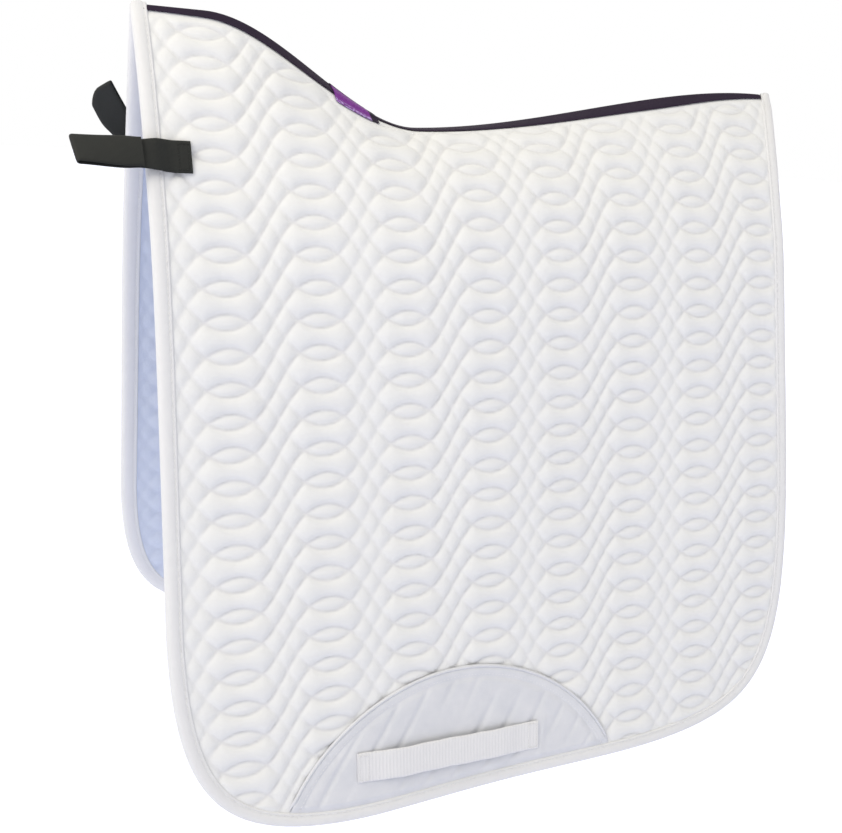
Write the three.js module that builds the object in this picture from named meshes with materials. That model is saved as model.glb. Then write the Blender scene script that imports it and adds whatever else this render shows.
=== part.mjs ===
// Quilted dressage saddle pad: two quilted panels that meet at a contoured spine and hang as flaps.
// Millimetres, +X to the rear, +Z up. -Y is the near (left) side, and the off (right) side mirrors it.
// The origin is on the underside of the spine, at the lowest point of the topline.
// A panel is laid out flat as (x, s): s runs down the panel from its fold line, and is negative above it.
// "off" is the distance out from the middle of the panel's thickness.
import * as THREE from "three";

// Driving dimensions
const FRONT_X = -230, REAR_X = 347; // outer faces of the front and rear edges
const FOLD_Y = 79, FOLD_DROP = 73.5; // fold line, from the spine's middle and below its lowest point
const REAR_LEAN = 24; // how far the rear edge leans back where it meets the spine
const FLARE = 11.5, FOLD_FLARE = 23.7; // degrees from vertical: low on the flap, and at the fold
const FLARE_FADE = 43; // distance below the fold over which the flare eases
const ARCH_POWER = 1.3; // how late the upper panel bends towards the spine
const WITHERS = { height: 74, from: 2, length: -175 }; // rise of the topline towards the front
const CANTLE = { height: 49, from: -18, length: 370 }; // rise of the topline towards the rear
const COVER = 1, WADDING = 6, GAP = 0.3; // outer cover and lining, wadding, clearance between layers
const HALF = WADDING / 2 + GAP + COVER; // half the panel's thickness
const FOLD_GAP = 3; // gap between an upper panel and its flap
const BINDING = { width: 12, wall: 0.8, gap: 0.45 };
const TAPE = { reach: 7, wall: 1, gap: 0.7 }; // spine tape, on each side of the ridge
const PATCH = { x: 2, s: 522, radius: 162, from: -61, to: 64, wall: 0.8 }; // half-moon girth patch, degrees
const PIPING = 1.6; // radius of the cord round the patch
const LOOP = { front: -89, rear: 76, tab: 11, ramp: 16, width: 25, wall: 1.4, bow: 7.3 };
const LOOP_S = [425.5, 431]; // middle of the girth loop at its front and rear ends
const STRAP = { x: -207, s: -48.5, width: 25, wall: 1.6, crease: 15, base: 13, clear: 2.5 };
const NEAR_STRAP = { turn: 0, reach: 51, tail: 45 };
const OFF_STRAP = { turn: 62, reach: 50, tail: 34 }; // degrees turned up at its crease
const HOOK_TAPE = { length: 30, width: 20, wall: 1 };

// Flat outline of a flap, from the front corner round the bottom to the rear corner
const FRONT_CORNER = [[-230, 300], [-229, 432], [-196, 471], [-70, 471]];
const REAR_CORNER = [[150, 466], [300, 463], [347, 440], [347, 270]];
const CORNER_STEPS = 6;

// Stations along the topline, and rows down each sheet
const STATIONS = [FRONT_X, -202, -184, -166, -148, -130, -112, -94, -76, -58, -40, -22, -4, 20, 50, 90, 140,
  190, 240, 295, REAR_X];
const UPPER_ROWS = [0, 0.08, 0.2, 0.36, 0.6, 1]; // share of the way from the ridge to the fold
const FLAP_ROWS = [FOLD_GAP / 2, 25, 60, 110, 200];

const material = (color, roughness) => new THREE.MeshStandardMaterial({ color, roughness, metalness: 0 });
const WHITE_COVER = material(0xf4f2f2, 0.8), WHITE_LINING = material(0xe9ecf4, 0.9);
const WHITE_BINDING = material(0xf6f6f8, 0.7), FILLING = material(0xefece2, 1);
const PATCH_CLOTH = material(0xe8e8f0, 0.6), WHITE_WEBBING = material(0xf2f2f2, 0.75);
const BLACK_WEBBING = material(0x2b2e2c, 0.8), HOOK_CLOTH = material(0x1d1f1f, 0.95);
const SPINE_TAPE = material(0x2a2438, 0.7), LABEL_CLOTH = material(0x6a2a9a, 0.6);

const part = new THREE.Group();
const near = new THREE.Group(), off = new THREE.Group();
off.scale.y = -1;
part.add(near, off);

// The panel's shape
const rad = THREE.MathUtils.degToRad;
const smooth = (t) => THREE.MathUtils.smoothstep(t, 0, 1);
const rise = ({ height, from, length }, x) => height * smooth((x - from) / length);
const topline = (x) => rise(WITHERS, x) + rise(CANTLE, x); // height of the spine above its lowest point

// Distances across and down along a curve whose angle from vertical is angleAt(distance)
function follow(angleAt, length, steps = 12) {
  let across = 0, down = 0;
  for (let i = 0; i < steps; i++) {
    const angle = angleAt((length * (i + 0.5)) / steps);
    across += (Math.sin(angle) * length) / steps;
    down += (Math.cos(angle) * length) / steps;
  }
  return [across, down];
}

// The arch from the fold up to the spine: its extra bend and its length at x
const arches = new Map();
function archAt(x) {
  if (arches.has(x)) return arches.get(x);
  const height = topline(x) + FOLD_DROP;
  let low = 0, high = 2, bend, across, down;
  for (let i = 0; i < 40; i++) {
    bend = (low + high) / 2;
    [across, down] = follow((t) => rad(FOLD_FLARE) + bend * t ** ARCH_POWER, 1);
    if (across / down < FOLD_Y / height) low = bend;
    else high = bend;
  }
  const arch = { bend, length: height / down, top: rad(FOLD_FLARE) + bend };
  arches.set(x, arch);
  return arch;
}

function angleAt(x, s) {
  if (s >= 0) return rad(FLARE + (FOLD_FLARE - FLARE) * Math.exp(-s / FLARE_FADE));
  const { bend, length } = archAt(x);
  return rad(FOLD_FLARE) + bend * Math.min(-s / length, 1) ** ARCH_POWER;
}

const SPINE_TOP = archAt(0).top;
const LIFT = (HALF + TAPE.gap + TAPE.wall) / Math.sin(SPINE_TOP) - topline(0); // puts the underside at z = 0

const lean = (x, s) => REAR_LEAN * smooth((x - 240) / (REAR_X - 240)) * smooth((-s - 20) / 130);

function panelPoint(x, s, offset) {
  const [across, down] = follow((d) => angleAt(x, s < 0 ? -d : d), Math.abs(s));
  const sign = s < 0 ? -1 : 1, angle = angleAt(x, s);
  return new THREE.Vector3(x + lean(x, s), -(FOLD_Y + sign * across + offset * Math.cos(angle)),
    LIFT - FOLD_DROP - sign * down + offset * Math.sin(angle));
}

// Where a layer at this offset reaches the distance y from the middle plane, at the spine
function ridge(x, offset, y = GAP / 2) {
  const { top, length } = archAt(x);
  return -length + (y - offset * Math.cos(top)) / Math.sin(top);
}

// Closed bodies bent onto the panel
function add(group, name, geometry, finish) {
  geometry.computeVertexNormals();
  const mesh = new THREE.Mesh(geometry, finish);
  mesh.name = name;
  group.add(mesh);
  return mesh;
}

function bent(geometry, place) {
  const position = geometry.attributes.position;
  for (let i = 0; i < position.count; i++) {
    const p = place(position.getX(i), position.getY(i), position.getZ(i));
    position.setXYZ(i, p.x, p.y, p.z);
  }
  return geometry;
}

// A closed sheet of columns and rows: place(column, row, offset), with row 0 at the top.
// Its two faces are split along the same diagonals, so that stacked sheets stay parallel.
function sheet(columns, rows, offsets, place) {
  const corner = (column, row, face) => (face * (rows + 1) + row) * (columns + 1) + column;
  const points = [], index = [];
  const quad = (a, b, c, d) => index.push(a, b, c, a, c, d);
  for (const offset of offsets)
    for (let row = 0; row <= rows; row++)
      for (let column = 0; column <= columns; column++) points.push(place(column, row, offset));
  for (let row = 0; row < rows; row++)
    for (let column = 0; column < columns; column++) {
      const [a, b, c, d] = [[0, 0], [0, 1], [1, 1], [1, 0]].map(([i, j]) => [column + i, row + j]);
      quad(corner(...a, 1), corner(...b, 1), corner(...c, 1), corner(...d, 1));
      quad(corner(...a, 0), corner(...d, 0), corner(...c, 0), corner(...b, 0));
    }
  const rim = (column, row, toColumn, toRow) => quad(corner(toColumn, toRow, 1), corner(column, row, 1),
    corner(column, row, 0), corner(toColumn, toRow, 0));
  for (let row = 0; row < rows; row++) {
    rim(0, row, 0, row + 1);
    rim(columns, row + 1, columns, row);
  }
  for (let column = 0; column < columns; column++) {
    rim(column, rows, column + 1, rows);
    rim(column + 1, 0, column, 0);
  }
  return new THREE.BufferGeometry().setFromPoints(points).setIndex(index);
}

// A section carried along stations: place(a, b, station)
function sweep(section, steps, place) {
  const settings = { depth: steps, steps, bevelEnabled: false, curveSegments: 4 };
  const geometry = new THREE.ExtrudeGeometry(section, settings);
  return bent(geometry, (a, b, z) => place(a, b, Math.round(z)));
}

const polygon = (points) => new THREE.Shape(points.map(([a, b]) => new THREE.Vector2(a, b)));

// Edge of the flap as stations: a flat point and the direction inwards
function edgeStations() {
  const curve = (points) => new THREE.CubicBezierCurve(...points.map(([x, s]) => new THREE.Vector2(x, s)));
  const parts = [curve(FRONT_CORNER), curve(REAR_CORNER)];
  return parts.flatMap((corner) =>
    Array.from({ length: CORNER_STEPS + 1 }, (_, i) => {
      const at = corner.getPoint(i / CORNER_STEPS), along = corner.getTangent(i / CORNER_STEPS);
      return { x: at.x, s: at.y, inX: along.y, inS: -along.x };
    }));
}

const EDGE = edgeStations();
const straight = (x, inX) => FLAP_ROWS.map((s) => ({ x, s, inX, inS: 0 }));
const FLAP_EDGE = [...straight(FRONT_X, 1), ...EDGE, ...straight(REAR_X, -1).reverse()];
const inset = ({ x, s, inX, inS }, w) => [x + w * inX, s + w * inS];

// Height s of the bottom edge at x, moved inwards by w
function bottomAt(x, w) {
  const points = EDGE.map((station) => inset(station, w));
  const i = Math.max(1, points.findIndex(([px]) => px > x));
  const [[x0, s0], [x1, s1]] = [points[i - 1], points[i]];
  return THREE.MathUtils.mapLinear(x, x0, x1, s0, s1);
}

// Offsets of the three layers
const LAYERS = {
  cover: [[HALF - COVER, HALF], WHITE_COVER],
  wadding: [[-WADDING / 2, WADDING / 2], FILLING],
  lining: [[-HALF, COVER - HALF], WHITE_LINING],
};
const SHEET_INSET = BINDING.wall + GAP + 0.1;
const insideEdges = (x) => THREE.MathUtils.clamp(x, FRONT_X + SHEET_INSET, REAR_X - SHEET_INSET);
const upperRow = (x, offset, row) =>
  THREE.MathUtils.lerp(ridge(x, offset), -FOLD_GAP / 2, UPPER_ROWS[row]);

function upperSheet(offsets) {
  return sheet(STATIONS.length - 1, UPPER_ROWS.length - 1, offsets, (column, row, offset) => {
    const x = insideEdges(STATIONS[column]);
    return panelPoint(x, upperRow(x, offset, row), offset);
  });
}

function flapSheet(offsets) {
  return sheet(EDGE.length - 1, FLAP_ROWS.length, offsets, (column, row, offset) => {
    const [x, bottom] = inset(EDGE[column], SHEET_INSET);
    return panelPoint(x, FLAP_ROWS[row] ?? bottom, offset);
  });
}

// U-shaped binding: a is the distance in from the edge, b the offset
function bindingSection() {
  const { width, wall, gap } = BINDING, inner = HALF + gap, outer = inner + wall;
  return polygon([[width, outer], [0, outer], [0, -outer], [width, -outer], [width, -inner], [wall, -inner],
    [wall, inner], [width, inner]]);
}

function flapBinding() {
  return sweep(bindingSection(), FLAP_EDGE.length - 1, (a, b, i) => {
    const [x, s] = inset(FLAP_EDGE[i], a);
    return panelPoint(x, s, b);
  });
}

function upperBinding(x, inwards) {
  const last = UPPER_ROWS.length - 1;
  return sweep(bindingSection(), last, (a, b, i) => {
    const at = x + a * inwards, row = inwards > 0 ? i : last - i;
    const belowTape = ridge(at, b, 0) + TAPE.reach + 2 * GAP;
    return panelPoint(at, Math.max(upperRow(at, b, row), belowTape), b);
  });
}

// Half-moon patch, its piping and the webbing loop that the girth passes through
const PATCH_STEPS = 12;
const arcPoint = (radius, i) => {
  const angle = rad(THREE.MathUtils.mapLinear(i, 0, PATCH_STEPS, PATCH.from, PATCH.to));
  return [PATCH.x + radius * Math.sin(angle), PATCH.s - radius * Math.cos(angle)];
};
const PATCH_INNER = HALF + GAP, PATCH_OUTER = PATCH_INNER + PATCH.wall;

function girthPatch() {
  return sheet(PATCH_STEPS, 2, [PATCH_INNER, PATCH_OUTER], (column, row, offset) => {
    const [x, top] = arcPoint(PATCH.radius, column);
    return panelPoint(x, THREE.MathUtils.lerp(top, bottomAt(x, BINDING.width + 2 * GAP), row / 2), offset);
  });
}

function patchPiping() {
  const circle = new THREE.Shape().absarc(0, 0, PIPING, 0, 2 * Math.PI);
  return sweep(circle, PATCH_STEPS, (a, b, i) => {
    const [x, s] = arcPoint(PATCH.radius + GAP + PIPING + a, i);
    return panelPoint(x, s, PATCH_INNER + PIPING + b);
  });
}

function girthLoop() {
  const { front, rear, tab, ramp, width, wall, bow } = LOOP;
  const ends = [0, tab, tab + ramp];
  const stations = [...ends.map((d) => front + d), ...ends.map((d) => rear - d).reverse()];
  const bows = [0, 0, bow, bow, 0, 0];
  const under = PATCH_OUTER + GAP;
  return sheet(stations.length - 1, 1, [under, under + wall], (column, row, offset) => {
    const x = stations[column];
    const middle = THREE.MathUtils.mapLinear(x, front, rear, ...LOOP_S);
    return panelPoint(x, middle + (row - 0.5) * width, offset + bows[column]);
  });
}

for (const [group, side] of [[near, "left"], [off, "right"]]) {
  for (const [layer, [offsets, finish]] of Object.entries(LAYERS)) {
    add(group, `${side}_upper_${layer}`, upperSheet(offsets), finish);
    add(group, `${side}_flap_${layer}`, flapSheet(offsets), finish);
  }
  add(group, `${side}_front_binding`, upperBinding(FRONT_X, 1), WHITE_BINDING);
  add(group, `${side}_rear_binding`, upperBinding(REAR_X, -1), WHITE_BINDING);
  add(group, `${side}_flap_binding`, flapBinding(), WHITE_BINDING);
  add(group, `${side}_girth_patch`, girthPatch(), PATCH_CLOTH);
  add(group, `${side}_patch_piping`, patchPiping(), PATCH_CLOTH);
  add(group, `${side}_girth_loop`, girthLoop(), WHITE_WEBBING);
}

// Tapes and tags over the spine: a is the distance down from the ridge, negative on the near side
function overRidge(stations, reach, inner, outer) {
  const section = polygon([[-reach, outer], [-reach, inner], [0, inner], [reach, inner], [reach, outer],
    [0, outer]]);
  return sweep(section, stations.length - 1, (a, b, i) => {
    const x = stations[i], p = panelPoint(x, ridge(x, b, 0) + Math.abs(a), b);
    if (a > 0) p.y *= -1;
    return p;
  });
}

const tapeStations = STATIONS.map(insideEdges);
const between = (from, to) => STATIONS.filter((x) => x >= from && x <= to);
const TAPE_INNER = HALF + TAPE.gap, TAPE_OUTER = TAPE_INNER + TAPE.wall;
add(part, "spine_tape", overRidge(tapeStations, TAPE.reach, TAPE_INNER, TAPE_OUTER), SPINE_TAPE);
add(part, "spine_lining_tape", overRidge(tapeStations, TAPE.reach, -TAPE_OUTER, -TAPE_INNER), SPINE_TAPE);
const LABEL = { from: -76, to: -40, reach: 6.5, gap: 0.6, wall: 0.7 };
const TAG = { from: -38, to: -30, reach: 6.5, gap: 1, wall: 0.7 };
const overTape = (stations, { reach, gap, wall }) =>
  overRidge(stations, reach, TAPE_OUTER + gap, TAPE_OUTER + gap + wall);
add(part, "spine_label", overTape(between(LABEL.from, LABEL.to), LABEL), LABEL_CLOTH);
add(part, "size_tag", overTape([TAG.from, TAG.to], TAG), SPINE_TAPE);

// Front straps: local x runs along the strap, y down the panel and z outwards from its surface.
// From the panel outwards: webbing, loop tape, hook tape and the tail that folds back over them.
const PLY = [5.9, 7.8, 9.1, 10.4];

function band({ turn, reach }) {
  const half = STRAP.width / 2, angle = rad(turn), mitre = half * Math.tan(angle / 2);
  const tip = (side) => [
    STRAP.crease + reach * Math.cos(angle) + side * half * Math.sin(angle),
    -reach * Math.sin(angle) + side * half * Math.cos(angle),
  ];
  return polygon([[GAP, -half], [STRAP.crease - mitre, -half], tip(-1), tip(1), [STRAP.crease + mitre, half],
    [GAP, half]]);
}

function plate(from, to, width, bottom, wall) {
  const box = new THREE.BoxGeometry(to - from, width, wall);
  return box.translate((from + to) / 2, 0, bottom + wall / 2);
}

function addStrap(group, side, strap) {
  const frame = new THREE.Group(), upright = new THREE.Group();
  const angle = angleAt(STRAP.x, STRAP.s);
  const along = new THREE.Vector3(-1, 0, 0), out = new THREE.Vector3(0, -Math.cos(angle), Math.sin(angle));
  frame.position.copy(panelPoint(STRAP.x, STRAP.s, 0));
  frame.quaternion.setFromRotationMatrix(new THREE.Matrix4().makeBasis(along, out.clone().cross(along), out));
  upright.position.x = STRAP.crease;
  upright.rotation.z = -rad(strap.turn);
  frame.add(upright);
  group.add(frame);

  const webbing = new THREE.ExtrudeGeometry(band(strap), { depth: STRAP.wall, bevelEnabled: false });
  const end = strap.reach - GAP, tapeStart = end - 4 - HOOK_TAPE.length;
  const base = plate(-STRAP.base, -STRAP.clear, STRAP.width, HALF + GAP, STRAP.wall);
  const tail = plate(end - strap.tail, end, STRAP.width, PLY[3], STRAP.wall);
  add(frame, `${side}_strap_base`, base, BLACK_WEBBING);
  add(frame, `${side}_strap_webbing`, webbing.translate(0, 0, PLY[0]), BLACK_WEBBING);
  for (const [ply, name] of [[1, "loop_tape"], [2, "hook_tape"]]) {
    const tape = plate(tapeStart, tapeStart + HOOK_TAPE.length, HOOK_TAPE.width, PLY[ply], HOOK_TAPE.wall);
    add(upright, `${side}_${name}`, tape, HOOK_CLOTH);
  }
  add(upright, `${side}_strap_tail`, tail, BLACK_WEBBING);
}

addStrap(near, "left", NEAR_STRAP);
addStrap(off, "right", OFF_STRAP);

export default part;
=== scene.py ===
# Looks of a quilted dressage saddle pad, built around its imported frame.
# The frame is in metres, +X to the rear, +Z up. A panel is laid out flat in millimetres as (x, s):
# s runs down the panel from its fold line and is negative above it. "offset" is the distance out
# from the middle of the panel's thickness. side is -1 for the near (left) panel, 1 for the off panel.
import math

import bpy
import numpy as np
from mathutils import Matrix, Vector


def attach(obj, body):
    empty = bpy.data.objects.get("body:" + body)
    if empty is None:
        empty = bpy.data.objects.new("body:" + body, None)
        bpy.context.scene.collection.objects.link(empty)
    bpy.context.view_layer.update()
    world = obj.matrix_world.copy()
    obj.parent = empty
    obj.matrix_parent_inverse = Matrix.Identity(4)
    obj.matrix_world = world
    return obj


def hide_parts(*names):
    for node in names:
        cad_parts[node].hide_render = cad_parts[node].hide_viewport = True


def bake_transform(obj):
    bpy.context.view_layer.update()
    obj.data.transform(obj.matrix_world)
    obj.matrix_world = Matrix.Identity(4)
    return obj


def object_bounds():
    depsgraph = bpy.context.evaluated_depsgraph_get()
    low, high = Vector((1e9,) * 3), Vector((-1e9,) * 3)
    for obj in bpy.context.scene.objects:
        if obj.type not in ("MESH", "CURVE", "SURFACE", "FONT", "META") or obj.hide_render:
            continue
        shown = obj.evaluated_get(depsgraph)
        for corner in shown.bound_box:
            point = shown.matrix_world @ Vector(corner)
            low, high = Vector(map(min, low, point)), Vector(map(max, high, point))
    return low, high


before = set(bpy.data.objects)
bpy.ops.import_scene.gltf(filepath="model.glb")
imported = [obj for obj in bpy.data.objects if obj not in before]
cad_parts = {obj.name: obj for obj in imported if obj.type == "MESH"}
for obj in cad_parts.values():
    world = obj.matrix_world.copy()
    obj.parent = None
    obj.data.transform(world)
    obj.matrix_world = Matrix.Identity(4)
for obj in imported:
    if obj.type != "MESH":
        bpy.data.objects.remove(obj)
cad_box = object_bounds()

MM = 0.001
SIDES = {"left": -1, "right": 1}

# ---------------------------------------------------------------- driving dimensions, millimetres
FRONT_X, REAR_X, REAR_TOP_X = -230.0, 347.0, 375.0  # the flap's ends, and the rear edge's over the spine
FOLD_Y, FOLD_DROP = 79.0, 73.5  # the fold line, out from the middle plane and down from the spine
FLARE, FOLD_FLARE = math.radians(11.5), math.radians(23.7)  # from vertical: low on the flap, at its fold
FLARE_FADE = 43.0  # the length over which the one turns into the other
ARCH_POWER = 1.3  # how the bend grows from the fold up to the spine
WITHERS = (74.0, 2.0, -175.0)  # height, start and length of the topline's rise to the front
CANTLE = (49.0, -18.0, 370.0)  # and to the rear
LIFT = 5.79  # middle of the spine above the frame's origin, before the seam is pressed
# How far the spine tape reaches down the panel at places along x
TAPE_REACHES = [(-230, 5), (-180, 6.5), (-80, 16.5), (-20, 14.8), (90, 15), (245, 15.8), (370, 5.5)]
LABEL_FRONT, TAG_FRONT, TAG_REAR = -74.0, -44.5, -38.0  # places along x
LABEL_REACH, TAG_REACH = 8.5, 8.0  # past the tape's edge
SEAM_SINK = 4.5  # how far the sewn spine sinks as its wadding is pressed
BOTTOM_S = 471.0  # the panel's lowest point
# The free edge as Bezier curves, with a straight line between the two corners
FRONT_EDGE = [(-226, -168), (-225, -60), (-226, 60), (FRONT_X, 300)]
FRONT_CORNER = [(FRONT_X, 300), (-229, 432), (-196, BOTTOM_S), (-70, BOTTOM_S)]
REAR_CORNER = [(150, 466), (300, 463), (REAR_X, 440), (REAR_X, 270)]
REAR_EDGE = [(REAR_X, 270), (REAR_X, 120), (318, -20), (REAR_TOP_X, -150)]
EDGE_TURN = 25.0  # how near the spine the edge's inward direction turns to run along the spine
BINDING_WIDTH = 12.0
SPINE_GAP = 0.15  # from the binding's ends to the ridge, where they meet their twins
WIDER = 1.25  # the binding's inner half, compared to its outer half
PATCH_X, PATCH_S, PATCH_RADIUS = 2.0, 522.0, 162.0  # the girth patch's arc: its centre and radius
PATCH_FROM, PATCH_TO = math.radians(-65), math.radians(65)  # and its ends, from straight up

# Quilting: two families of waves, repeated every row, that cross between the lens columns
ROW, PITCH = 24.14, 70.0
FIRST_ROW, FIRST_COLUMN = 22.6, -177.0
SWING, FLATTEN = 1.489, 0.252  # rows that a wave swings: c * (SWING - FLATTEN * c * c), c being a cosine
FULL_PULL, SINGLE_PULL, CROSSED_PULL = 12.0, 2.5, 2.2  # how hard thread holds the cloth down
THREAD_REACH, PLUMPNESS = 0.55, 0.55  # how wide a stitch holds, and the power that rounds the puffs


# ---------------------------------------------------------------- the panel's shape
def smooth(t):
    t = np.clip(t, 0, 1)
    return t * t * (3 - 2 * t)


def topline(x):
    """Height of the spine above its lowest point."""
    return sum(height * smooth((x - start) / length) for height, start, length in (WITHERS, CANTLE))


NODES, WEIGHTS = np.polynomial.legendre.leggauss(8)
NODES, WEIGHTS = (NODES + 1) / 2, WEIGHTS / 2


def walk(angle):
    """Distances across and down a curve of length 1 whose angle from vertical at t is angle(t)."""
    angles = [angle(t) for t in NODES]
    across = sum(w * np.sin(a) for w, a in zip(WEIGHTS, angles))
    down = sum(w * np.cos(a) for w, a in zip(WEIGHTS, angles))
    return across, down


def fit_arches(x):
    """The extra bend and the length of the arch from the fold up to the spine, at each x."""
    height = topline(x) - SEAM_SINK + FOLD_DROP
    low, high = np.zeros_like(x), np.full_like(x, 2.0)
    for _ in range(40):
        bend = (low + high) / 2
        across, down = walk(lambda t: FOLD_FLARE + bend * t**ARCH_POWER)
        too_flat = across / down < FOLD_Y / height
        low, high = np.where(too_flat, bend, low), np.where(too_flat, high, bend)
    return bend, height / down


STATION_X = np.arange(FRONT_X - 10, REAR_X + 41, 1.0)
BEND, ARCH_LENGTH = fit_arches(STATION_X)
FLAP_STEP = 0.5
FLAP_S = np.arange(0, 520.0, FLAP_STEP)
FLAP_ANGLE = FLARE + (FOLD_FLARE - FLARE) * np.exp(-FLAP_S / FLARE_FADE)


def cumulative(values):
    """The running integral of values along the flap."""
    middle = (values[1:] + values[:-1]) / 2 * FLAP_STEP
    return np.concatenate([[0], np.cumsum(middle)])


FLAP_ACROSS, FLAP_DOWN = cumulative(np.sin(FLAP_ANGLE)), cumulative(np.cos(FLAP_ANGLE))


def angle_at(x, s):
    """Angle of the panel from vertical."""
    share = np.minimum(np.maximum(-s, 0) / np.interp(x, STATION_X, ARCH_LENGTH), 1)
    above = FOLD_FLARE + np.interp(x, STATION_X, BEND) * share**ARCH_POWER
    return np.where(s < 0, above, np.interp(s, FLAP_S, FLAP_ANGLE))


OFF_FLAP_OUT = 8.0  # how much further out the off flap hangs


def sway(x, s, side):
    """Slow waves of the hanging cloth. The off flap hangs a little further out."""
    wave = 1.2 * np.sin(x / 61 + s / 140 + 0.8) + 0.7 * np.sin(x / 34 - s / 95 + 2.1)
    further = OFF_FLAP_OUT * smooth((s + 90) / 230) if side > 0 else 0.0
    return smooth((s + 60) / 300) * wave + further


def panel(x, s, offset, side):
    """Points of the frame, in metres, at flat points of a panel."""
    x, s, offset = np.broadcast_arrays(*(np.asarray(v, float) for v in (x, s, offset)))
    offset = offset + sway(x, s, side)
    bend, length = np.interp(x, STATION_X, BEND), np.interp(x, STATION_X, ARCH_LENGTH)
    above = np.maximum(-s, 0)
    across, down = walk(lambda t: FOLD_FLARE + bend * np.minimum(above * t / length, 1) ** ARCH_POWER)
    y = FOLD_Y - above * across + np.interp(s, FLAP_S, FLAP_ACROSS, left=0)
    z = LIFT - FOLD_DROP + above * down - np.interp(s, FLAP_S, FLAP_DOWN, left=0)
    angle = angle_at(x, s)
    y, z = y + offset * np.cos(angle), z + offset * np.sin(angle)
    return np.stack([x, side * y, z], -1) * MM


def ridge(x, offset=0.0):
    """Where a layer at this offset reaches the middle plane, at the spine."""
    top = FOLD_FLARE + np.interp(x, STATION_X, BEND)
    return -np.interp(x, STATION_X, ARCH_LENGTH) - offset / np.tan(top)


def bezier(points, count):
    t = np.linspace(0, 1, count)[:, None]
    a, b, c, d = (np.array(p, float) for p in points)
    return a * (1 - t) ** 3 + 3 * b * t * (1 - t) ** 2 + 3 * c * t**2 * (1 - t) + d * t**3


def resample(points, step):
    """The same line with even steps, the distance along it, and its directions."""
    along = np.concatenate([[0], np.cumsum(np.linalg.norm(np.diff(points, axis=0), axis=1))])
    at = np.linspace(0, along[-1], max(2, int(round(along[-1] / step)) + 1))
    even = np.stack([np.interp(at, along, points[:, k]) for k in range(points.shape[1])], -1)
    direction = np.gradient(even, axis=0)
    return even, at, direction / np.linalg.norm(direction, axis=1)[:, None]


def outline(step):
    """The panel's free edge from the spine at the front, round the bottom, to the spine at the rear."""
    curves = (FRONT_EDGE, FRONT_CORNER, REAR_CORNER, REAR_EDGE)
    points = np.concatenate([bezier(curve, 1500) for curve in curves])
    points = points[points[:, 1] >= ridge(points[:, 0]) + SPINE_GAP]
    even, at, direction = resample(points, step)
    inwards = np.stack([direction[:, 1], -direction[:, 0]], -1)
    inwards[:, 1] *= smooth((even[:, 1] - ridge(even[:, 0])) / EDGE_TURN)
    return even, at, inwards


FAR = 50.0  # points at least this far in count as this far
REAR_WAIST = 10.0  # how far the rear edge curves in from REAR_X
CORNERS_S = 250.0  # the corners and the bottom edge matter below this
BLOCK = 4000  # points compared with the edge at a time


def edge_distance(x, s):
    """Distance in from the free edge, for flat points. It is negative outside."""
    edge, _, inwards = outline(1.5)
    flat_x, flat_s = x.ravel(), s.ravel()
    out = np.full(len(flat_x), FAR)
    near = (flat_x < FRONT_X + FAR) | (flat_x > REAR_X - REAR_WAIST - FAR) | (flat_s > CORNERS_S)
    near = np.flatnonzero(near)
    for part in np.array_split(near, max(1, len(near) // BLOCK)):
        dx, ds = flat_x[part, None] - edge[:, 0], flat_s[part, None] - edge[:, 1]
        best = np.argmin(dx * dx + ds * ds, axis=1)
        rows = np.arange(len(part))
        out[part] = dx[rows, best] * inwards[best, 0] + ds[rows, best] * inwards[best, 1]
    return out.reshape(x.shape)


# ---------------------------------------------------------------- quilting
def stitch_distance(x, s, family):
    """Distance to the nearest wave of a family (1 or -1)."""
    phase = np.pi * (x - FIRST_COLUMN) / PITCH
    cosine = np.cos(phase)
    rows = (s - FIRST_ROW) / ROW - family * cosine * (SWING - FLATTEN * cosine**2)
    slope = ROW * np.pi / PITCH * np.sin(phase) * (SWING - 3 * FLATTEN * cosine**2)
    return np.abs(rows - np.round(rows)) * ROW / np.sqrt(1 + slope * slope)


def pulls(x):
    """How hard each family's thread holds the cloth down: both at the lenses, the rising one between."""
    phase = np.pi * (x - FIRST_COLUMN) / PITCH
    lens = smooth((np.abs(np.cos(phase)) - 0.5) / 0.25)
    rising = smooth(0.5 + np.sin(phase))
    crossed = CROSSED_PULL - rising
    return {1: SINGLE_PULL + (FULL_PULL - SINGLE_PULL) * np.maximum(lens, rising),
            -1: crossed + (FULL_PULL - crossed) * lens}


def inflate(columns=280, rows=64, rounds=2600):
    """One repeat of the quilting as a membrane under pressure, held down along the stitches."""
    x = FIRST_COLUMN + np.arange(columns) * 2 * PITCH / columns
    s = FIRST_ROW + np.arange(rows) * ROW / rows
    x, s = np.meshgrid(x, s)
    hold = sum(pull * np.exp(-((stitch_distance(x, s, family) / THREAD_REACH) ** 2))
               for family, pull in pulls(x).items())
    ax, ay = 1 / (2 * PITCH / columns) ** 2, 1 / (ROW / rows) ** 2
    u = np.zeros_like(x)
    for _ in range(rounds):
        sides = ax * (np.roll(u, 1, 1) + np.roll(u, -1, 1)) + ay * (np.roll(u, 1, 0) + np.roll(u, -1, 0))
        u = (sides + 1) / (2 * ax + 2 * ay + hold)
    return (u / u.max()) ** PLUMPNESS


PUFF = inflate()


def stitched_place(x, s):
    """Where a flat point lies in the even pattern: the sewing wanders a little."""
    wobble = 0.35 * np.sin(x / 17 + s / 29) + 0.3 * np.sin(x / 31 - s / 13)
    return x + wobble / 2, s + wobble


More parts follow.
